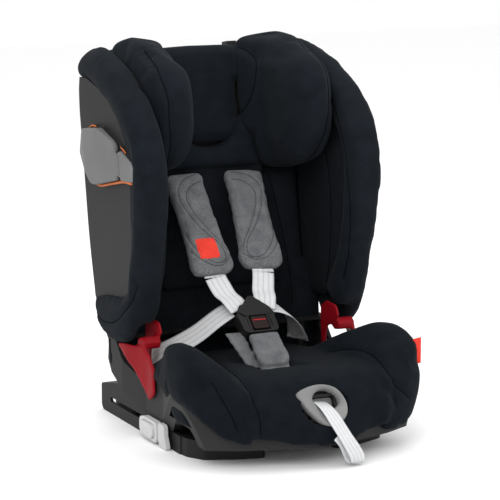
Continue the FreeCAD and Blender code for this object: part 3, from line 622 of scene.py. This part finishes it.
def wing_covers():
    """The roll round a side wall's edge, one cover with the pocket that hangs over the hip."""
    pocket = block(POCKET, "yz", 195, 210, leaning=True)
    left = soft("wing_cover_left", ["wing_roll_left"], NAVY, rounds=22, cap=0.003, extra=[pocket],
                swell=0.004)
    right = mirror_copy(left, "wing_cover_right")
    lining = soft("side_lining_left", ["side_bolster_left"], NAVY_DARK, rounds=10, cap=0.003, swell=0.001)
    lining_right = mirror_copy(lining, "side_lining_right")
    place(left, "backrest", ["wing_roll_left"])
    place(right, "backrest", ["wing_roll_right"])
    place(lining, "backrest", ["side_bolster_left"])
    place(lining_right, "backrest", ["side_bolster_right"])
    inner = [back(170, -72, 424), back(166, -106, 380), back(164, -124, 324), back(164, -136, 270),
             back(164, -134, 210), back(166, -112, 140), back(168, -86, 96)]
    lower = [back(202, -98, 118), back(204, -66, 84), back(204, -20, 60),
             back(204, 40, 58), back(204, 76, 74)]
    lengthwise = [back(177, -33, 322), back(177, -44, 270), back(177, -40, 200), back(177, -22, 130),
                  back(177, -2, 90)]
    for cover, lines in ((left, [inner, lower]), (right, [mirrored(inner), mirrored(lower)]),
                         (lining, [lengthwise]), (lining_right, [mirrored(lengthwise)])):
        sew("backrest", "navy_fabric", cover, lines, depth=0.0025, width=0.007)


def headrest_pads():
    top = block([(-84, 440), (-84, 500), (-60, 506), (60, 506), (84, 500), (84, 440)], "xz", 50, 72,
                leaning=True)
    curved = [(8, 326), (96, 326), (96, 384), (66, 380), (50, 358), (30, 342)]
    arc = [block([(s * x, z) for x, z in curved], "xz", 42, 70, leaning=True) for s in (-1, 1)]
    centre = soft("headrest_centre_cushion", ["headrest_centre_pad"], NAVY, rounds=10, cap=0.006,
                  extra=[top],
                  swell=0.002)
    neck = soft("headrest_neck_cushion", ["headrest_neck_pad"], NAVY, rounds=10, cap=0.005, extra=arc,
                swell=0.002)
    left = soft("headrest_wing_cover_left", ["headrest_wing_left"], NAVY, rounds=75, cap=0.006, levels=2,
                swell=0.006)
    right = mirror_copy(left, "headrest_wing_cover_right")
    for obj, names in ((centre, ["headrest_centre_pad"]), (neck, ["headrest_neck_pad"]),
                       (left, ["headrest_wing_left"]), (right, ["headrest_wing_right"])):
        place(obj, "headrest", names)
    bib = block([(-100, 96), (100, 96), (100, 312), (-100, 312)], "xz", 50, 56, leaning=True)
    bib = soft("headrest_bib", [], NAVY_DARK, voxel=0.0035, rounds=3, cap=0.001, levels=0, extra=[bib])
    place(bib, "headrest")
    gusset = [back(72, 48, 494), back(80, 24, 482), back(88, 12, 462), back(88, 14, 438), back(82, 26, 408),
              back(72, 42, 386)]
    rim = [back(140, -40, 492), back(140, -96, 452), back(140, -124, 412), back(138, -118, 372),
           back(134, -98, 336), back(130, -62, 308)]
    for cover, lines in ((left, [gusset, rim]), (right, [mirrored(gusset), mirrored(rim)])):
        sew("headrest", "navy_fabric", cover, lines, depth=0.003, width=0.008)


def pad_point(top, bottom, u, v):
    """A place over a shoulder pad: u across it in millimetres, v from its lower end (0) to its top (1)."""
    along = Vector(top) - Vector(bottom)
    face = Vector((1, 0, 0)).cross(along).normalized()
    return (Vector(bottom) + along * v + face * PAD_CLEARANCE) * MM + at(u, 0, 0)


# each shoulder pad's middle line, top to bottom; points start this far above it and drop onto the pad
PAD_CLEARANCE = 18
PADS = {"right": ((-60, 146, 398), (-51, 34, 248)), "left": ((50, 146, 398), (36, 34, 252))}
# the quilted lines, as (u, v) on a pad
LOOP_OUTER = [(-26, 1.00), (4, 0.93), (22, 0.80), (18, 0.62), (0, 0.42),
              (-22, 0.26), (-24, 0.12), (-2, 0.10),
              (20, 0.22), (36, 0.40)]
LOOP_INNER = [(-27, 0.90), (-6, 0.86), (10, 0.76), (6, 0.60), (-12, 0.40), (-34, 0.22)]
SWEEP = [(-36, 0.16), (-14, 0.07), (12, 0.10), (36, 0.24)]
CROTCH_SLOPE, CROTCH_Y, CROTCH_Z = 1.2, -104, 122


def harness_pads():
    for side, sign in (("left", 1), ("right", -1)):
        node_name = "shoulder_pad_" + side
        obj = soft("shoulder_pad_cover_" + side, [node_name], MELANGE, voxel=0.004, rounds=7, cap=0.004,
                   levels=2,
                   swell=0.0015)
        place(obj, "headrest", [node_name])
        top, bottom = PADS[side]
        lines = [[pad_point(top, bottom, sign * u, v) for u, v in line]
                 for line in (LOOP_OUTER, LOOP_INNER, SWEEP)]
        # the quilting cords carry painted shade of the pressed-in lines
        sew("headrest", "melange_fabric", obj, lines, radius=0.0005, depth=0.0014, width=0.003, mat=QUILT_THREAD_AND_SHADE)
    patch()
    layer = block([(-64, 168), (-32, 168), (-28, 120), (-50, 126)], "xz", 6, 13)
    foot = block([(-31, 132), (19, 132), (21, 112), (-32, 112)], "xz", -4, 4)
    lean_back = Matrix.Identity(4)
    lean_back[1][2], lean_back[1][3] = CROTCH_SLOPE, (CROTCH_Y - CROTCH_SLOPE * CROTCH_Z) * MM
    for mesh in (layer, foot):
        mesh.transform(lean_back)
    obj = soft("crotch_pad_cover", ["crotch_pad"], MELANGE, voxel=0.003, rounds=5, cap=0.002,
               extra=[layer, foot],
               swell=0.001)
    place(obj, "base", ["crotch_pad"])


def patch():
    """The blank woven patch sewn on the right shoulder pad, laid on its surface."""
    pad = bpy.data.objects["shoulder_pad_cover_right"]
    top, bottom = PADS["right"]
    cells, half, corner = 12, 18.5, 0.12
    middle_u, middle_v, half_v = -3, 0.235, 0.102
    bm = bmesh.new()
    grid = []
    for row in range(cells + 1):
        line = []
        for column in range(cells + 1):
            u, w = (2 * column / cells - 1), (2 * row / cells - 1)
            round_u = u * math.sqrt(1 - corner * w ** 8)
            round_w = w * math.sqrt(1 - corner * u ** 8)
            target = pad_point(top, bottom, middle_u + half * round_u, middle_v + half_v * round_w)
            (spot, normal), = on_surface(pad, [target])
            edge = max(abs(u), abs(w)) ** 8
            line.append(bm.verts.new(spot + normal * (0.0016 - 0.0020 * edge)))
        grid.append(line)
    for low, high in zip(grid, grid[1:]):
        for k in range(cells):
            bm.faces.new([low[k], low[k + 1], high[k + 1], high[k]])
    made = new_object("shoulder_patch", finished(bm, "shoulder_patch"), TAB_RED)
    smooth(made)
    place(made, "headrest")


# ---- webbing ---------------------------------------------------------------------------
def harness_webbing():
    right = [at(-28, -19, 202), at(-35, -5, 215), at(-41, 10, 224),
             at(-47, 19.5, 237.5), at(-50.5, 27.5, 249),
             at(-51, 34, 258)]
    left = [at(16, -19, 202), at(23, -5, 216), at(28, 10.5, 225), at(32.5, 19.5, 238.5), at(35.5, 26.5, 251),
            at(36.5, 33, 260)]
    for side, path in (("right", right), ("left", left)):
        parts = (("lower", path[:5], "base", "backrest"), ("upper", path[4:], "backrest", "headrest"))
        for name, part, low, high in parts:
            obj = strap("harness_strap_%s_%s" % (name, side), part, HARNESS_WIDTH)
            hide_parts("harness_straps")
            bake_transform(obj)
    right = [at(-40, -4, 200), at(-62, 0, 186), at(-90, 12, 162), at(-118, 28, 142), at(-142, 44, 126),
             at(-150, 58, 112)]
    left = [at(28, -4, 202), at(48, -2, 196), at(72, 8, 181),
            at(92, 25, 160), at(106, 42, 139), at(113, 54, 125)]
    lays = {"right": [(-0.1, 0.9, 0.4), (-0.05, 0.78, 0.61)],
            "left": [(-0.1, -0.9, -0.4), (-0.1, -0.7, 0.6)]}
    for side, path in (("right", right), ("left", left)):
        obj = strap("lap_strap_" + side, path, HARNESS_WIDTH, lays[side])
        place(obj, "base", ["lap_straps"])
    path = [back(0, 34, 271), back(0, 57, 271), back(0, 70, 274), back(0, 112, 274), back(0, 117.2, 268),
            back(0, 117.2, 262)]
    for side, x in (("right", -44), ("left", 44)):
        shifted = [p + at(x, 0, 0) for p in path]
        obj = strap("shoulder_strap_" + side, shifted, HARNESS_WIDTH)
        place(obj, "headrest", ["shoulder_straps"])
    path = [at(-6, -108, 92), at(-6, -106, 119), at(-6, -94, 131), at(-6, -54.5, 164.5)]
    crotch = strap("crotch_webbing", path, HARNESS_WIDTH)
    place(crotch, "base", ["crotch_strap"])
    path = [on_bezel(2, 12, -14), on_bezel(3, 6, -5), on_bezel(5, -4, 4), on_bezel(9, -16, 8),
            on_bezel(15, -30, 8), at(28, -294, 42), at(39, -298, 22), at(44, -295, 9), at(43, -288, 6),
            at(39, -283, 14), at(28, -286, 36), at(16, -284, 52)]
    lay = (1, 0.1, -0.12)
    puller = strap("adjuster_webbing", path, ADJUSTER_WIDTH, (lay, lay))
    place(puller, "base", ["adjuster_strap"])


# ---- hard pieces with rounded, sculpted forms -----------------------------------------
def carved(name, node_name, mat, body, voxel, rounds):
    """A hard CAD part with its edges rounded."""
    obj = joined(name, [node_name], mat)
    remesh(obj, voxel, rounds)
    smooth(obj)
    place(obj, body, [node_name])
    return obj


TEARDROP = [(-40, 23), (-18, 33), (8, 34), (30, 24), (41, 2), (38, -18),
            (23, -31), (4, -34), (-14, -22), (-33, 4)]
MOUTH = [(-12, 14), (-7, 22), (4, 27), (18, 25), (29, 14), (31, 3), (22, -4), (8, -6), (-4, -2), (-10, 6)]


def on_bezel(x, y, z):
    """A point drawn face-up on the adjuster's rim, laid on the seat's front edge."""
    turn = Matrix.Rotation(BEZEL_TILT, 3, "X")
    return (turn @ Vector((x, y, z)) + BEZEL_MIDDLE) * MM


def closed_curve(points, steps):
    """Evenly many points on a smooth closed curve through the given (x, y) points."""
    out, count = [], len(points)
    for i in range(count):
        a, b, c, d = (Vector(points[(i + k) % count]) for k in (-1, 0, 1, 2))
        for k in range(steps):
            t = k / steps
            out.append(0.5 * (2 * b + (c - a) * t + (2 * a - 5 * b + 4 * c - d) * t * t
                              + (3 * b - a - 3 * c + d) * t ** 3))
    return out


def adjuster_rim():
    """The teardrop bowl: a raised outer lip that falls smoothly into the mouth, and the mouth's wall."""
    outer, mouth = closed_curve(TEARDROP, 8), closed_curve(MOUTH, 8)
    profile = [(0.0, -7.0), (0.0, 2.5), (0.05, 5.2), (0.14, 6.8), (0.3, 6.6), (0.55, 5.0),
               (0.8, 2.6), (0.95, 0.2),
               (1.0, -2.0), (1.0, -15.0)]
    bm = bmesh.new()
    rings = []
    for share, height in profile:
        rings.append([bm.verts.new(on_bezel(*(a.lerp(b, share)), height)) for a, b in zip(outer, mouth)])
    bridge(bm, rings)
    obj = new_object("adjuster_rim", finished(bm, "adjuster_rim"), BEZEL)
    wall = obj.modifiers.new("wall", "SOLIDIFY")
    wall.thickness, wall.offset = 0.0018, -1
    apply_modifiers(obj)
    subdivide(obj, 1)
    smooth(obj)
    place(obj, "base", ["adjuster_bezel"])
    floor = block([(p.x, p.y) for p in closed_curve(MOUTH, 3)], "xy", -15, -13)
    floor.transform(Matrix.Translation(BEZEL_MIDDLE * MM) @ Matrix.Rotation(BEZEL_TILT, 4, "X"))
    place(new_object("adjuster_well", floor, BLACK), "base")


def on_buckle(mesh):
    """Lay a block drawn face-up, strap along +Y, onto the buckle's slope."""
    turn = Matrix.Rotation(BUCKLE_TILT, 4, "X")
    mesh.transform(Matrix.Translation(BUCKLE_MIDDLE * MM) @ turn)
    return mesh


WINDOW = [(-15.4, -26), (15.4, -26), (15.4, 2), (-15.4, 2)]


def cut_window(case):
    """Open the window again in which the key travels, with room all round."""
    cutter = new_object("cutter", on_buckle(block(WINDOW, "xy", 2, 22)), BLACK)
    opening = case.modifiers.new("window", "BOOLEAN")
    opening.operation, opening.object = "DIFFERENCE", cutter
    apply_modifiers(case)
    bpy.data.objects.remove(cutter)


def buckle():
    """A black case whose two tongues meet under a raised peak, and a red key deep in its window: the key is
    painted dark for the shade it lies in, and a bright red strip is painted where its edge catches the
    light.
    """
    hood = [(-30, 10), (-26, 18), (-4, 42), (4, 42), (26, 18), (30, 10), (20, 2), (-20, 2)]
    peak = on_buckle(block(hood, "xy", -3, 15))
    rib = [(16, -22), (20, -22), (19, 12), (15, 12)]
    ribs = [on_buckle(block([(s * x, y) for x, y in rib], "xy", 8, 13)) for s in (-1, 1)]
    case = joined("buckle_case", ["buckle_housing"], BLACK, [peak] + ribs)
    remesh(case, 0.0011, 4)
    cut_window(case)
    smooth(case)
    place(case, "base", ["buckle_housing"])
    carved("buckle_key", "buckle_button", KEY_DARK, "buckle_button", 0.0008, 4)
    # painted highlight: a bright red strip across the key where its edge catches the light
    bar = on_buckle(block([(-11, -8), (11, -8), (11, -6.4), (-11, -6.4)], "xy", 13, 14.3))
    place(new_object("buckle_key_lit_edge", bar, KEY_LIT_EDGE), "buckle_button")
    for side in ("left", "right"):
        name = "buckle_tongue_" + side
        carved(name + "_grip", name, BLACK, "base", 0.0009, 3)


TRIM_TOP = [(58, 340), (50, 350), (26, 376), (-2, 375)]
TRIM_FRONT = [(-96, 338), (-108, 332), (-118, 326)]
TRIM_LOW = [(30, 290), (2, 280), (-50, 281), (-100, 282), (-134, 277)]


def guard_trim():
    """The thin orange edge that shows round the folded guard."""
    cords = (("top", TRIM_TOP, 0.0016), ("front", TRIM_FRONT, 0.0012), ("low", TRIM_LOW, 0.0024))
    for name, outline, radius in cords:
        for side, sign in (("left", 1), ("right", -1)):
            line = curve_through([back(sign * TRIM_X, y, z) for y, z in outline], 0.006)
            outwards = Vector((sign, 0, 0))
            cord = tube("guard_trim_%s_%s" % (name, side), [(p, outwards) for p in line], radius, ORANGE)
            place(cord, "backrest")


def hard_pieces():
    for side in ("left", "right"):
        carved("lap_belt_guide_" + side, "lap_guide_" + side, GUIDE_RED, "base", 0.0016, 26)
        carved("guard_flap_" + side, "side_guard_flap_" + side, GUARD, "side_guard_" + side,
               0.0018, 22)
        carved("guard_nose_" + side, "side_guard_nose_" + side, GUARD, "backrest",
               0.0014, 12)
    guard_trim()
    buckle()
    adjuster_rim()
    tab = block([(198, 124), (212, 126), (212, 168), (198, 166)], "xz", -190.5, -188.5)
    place(new_object("side_tab", tab, TAB_RED), "base", ["cushion_tab"])


# ---- stage, lights and camera -----------------------------------------------------------
def stage():
    bpy.ops.mesh.primitive_plane_add(size=12, location=(0, 0, 0))
    floor = bpy.context.object
    floor.name = "studio_floor"
    mat = material("studio_floor", 0.75)
    mat.node_tree.nodes["Principled BSDF"].inputs["Base Color"].default_value = (0.97, 0.97, 0.97, 1)
    floor.data.materials.append(mat)
    world = SCENE.world or bpy.data.worlds.new("studio")
    SCENE.world = world
    world.use_nodes = True
    world.node_tree.nodes["Background"].inputs["Color"].default_value = (1, 1, 1, 1)
    world.node_tree.nodes["Background"].inputs["Strength"].default_value = 1.0


LIGHT_AIM = Vector((0, 0, 0.3))


def light(name, size, power, place_m):
    """A square soft light of the given side, aimed at the seat's middle."""
    data = bpy.data.lights.new(name, "AREA")
    data.shape = "RECTANGLE"
    data.size = data.size_y = size
    data.energy = power
    obj = bpy.data.objects.new(name, data)
    SCENE.collection.objects.link(obj)
    obj.location = place_m
    obj.rotation_euler = (LIGHT_AIM - Vector(place_m)).to_track_quat("-Z", "Y").to_euler()


def camera():
    azimuth, elevation, distance = math.radians(-25.4), math.radians(10.56), 3.942
    target = Vector((-0.001, 0, 0.295))
    data = bpy.data.cameras.new("camera")
    data.sensor_width, data.lens = 36.0, 174.7
    obj = bpy.data.objects.new("camera", data)
    SCENE.collection.objects.link(obj)
    direction = Vector((math.sin(azimuth) * math.cos(elevation), -math.cos(azimuth) * math.cos(elevation),
                        math.sin(elevation)))
    obj.location = target + direction * distance
    obj.rotation_euler = (-direction).to_track_quat("-Z", "Y").to_euler()
    SCENE.camera = obj


seat_cover()
back_cushion()
wing_covers()
headrest_pads()
harness_pads()
harness_webbing()
hard_pieces()
stage()
light("key", 1.8, 38, (-1.6, -2.2, 2.2))
light("fill", 1.8, 16, (2.2, -2.0, 1.6))
light("top", 2.4, 24, (0.0, 0.4, 2.4))
camera()
